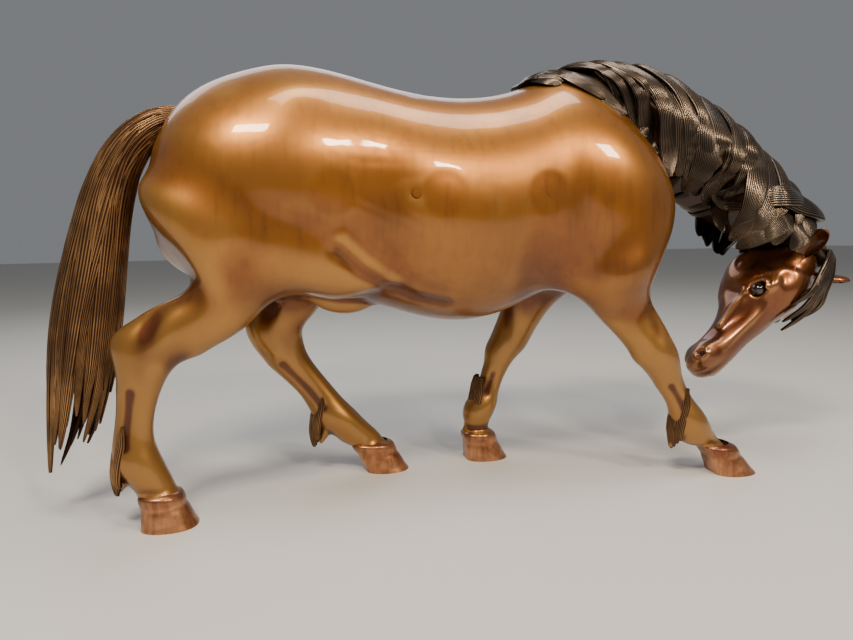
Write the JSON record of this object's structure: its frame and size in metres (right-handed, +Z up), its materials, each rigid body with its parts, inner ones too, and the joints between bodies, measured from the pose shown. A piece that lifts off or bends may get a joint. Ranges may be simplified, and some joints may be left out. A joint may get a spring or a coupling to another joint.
{
  "type": "bronze horse statuette",
  "caption": "Cast bronze horse statuette, standing with its head bent down and turned to its right fore leg, full mane and long tail, resting flat on its hooves",
  "frame": {"origin": "on the ground under the middle of the statue's box", "axes": "+X towards the nose end, +Y to the horse's left, +Z up"},
  "size_m": [0.5483, 0.1207, 0.2804],
  "materials": {
    "golden_patina": "cast bronze, golden brown patina, waxed and polished",
    "brown_patina": "cast bronze, reddish brown patina, waxed and polished",
    "dark_patina": "cast bronze, dark brown patina rubbed back on the engraved strands",
    "bare_bronze": "bare bronze as cast and turned",
    "black_enamel": "glossy black enamel inlay"
  },
  "bodies": {
    "root": {"body_casting": "golden_patina", "neck_casting": "golden_patina", "mane_casting": "dark_patina", "head_casting": "brown_patina", "forelock_casting": "dark_patina", "right_ear": "brown_patina", "left_ear": "brown_patina", "right_eye": "black_enamel", "left_eye": "black_enamel", "tail_casting": "dark_patina", "right_hind_leg": "brown_patina", "left_hind_leg": "brown_patina", "right_fore_leg": "brown_patina", "left_fore_leg": "brown_patina", "sheath_casting": "brown_patina", "belly_plug": "golden_patina", "core_pin_plugs": "golden_patina", "sole_plugs": "bare_bronze", "neck_spigot": "bare_bronze", "head_spigot": "bare_bronze", "tail_spigot": "bare_bronze", "right_hind_spigot": "bare_bronze", "left_hind_spigot": "bare_bronze", "right_fore_spigot": "bare_bronze", "left_fore_spigot": "bare_bronze", "joint_pins": "bare_bronze", "spigot_wedges": "bare_bronze"}
  },
  "joints": []
}
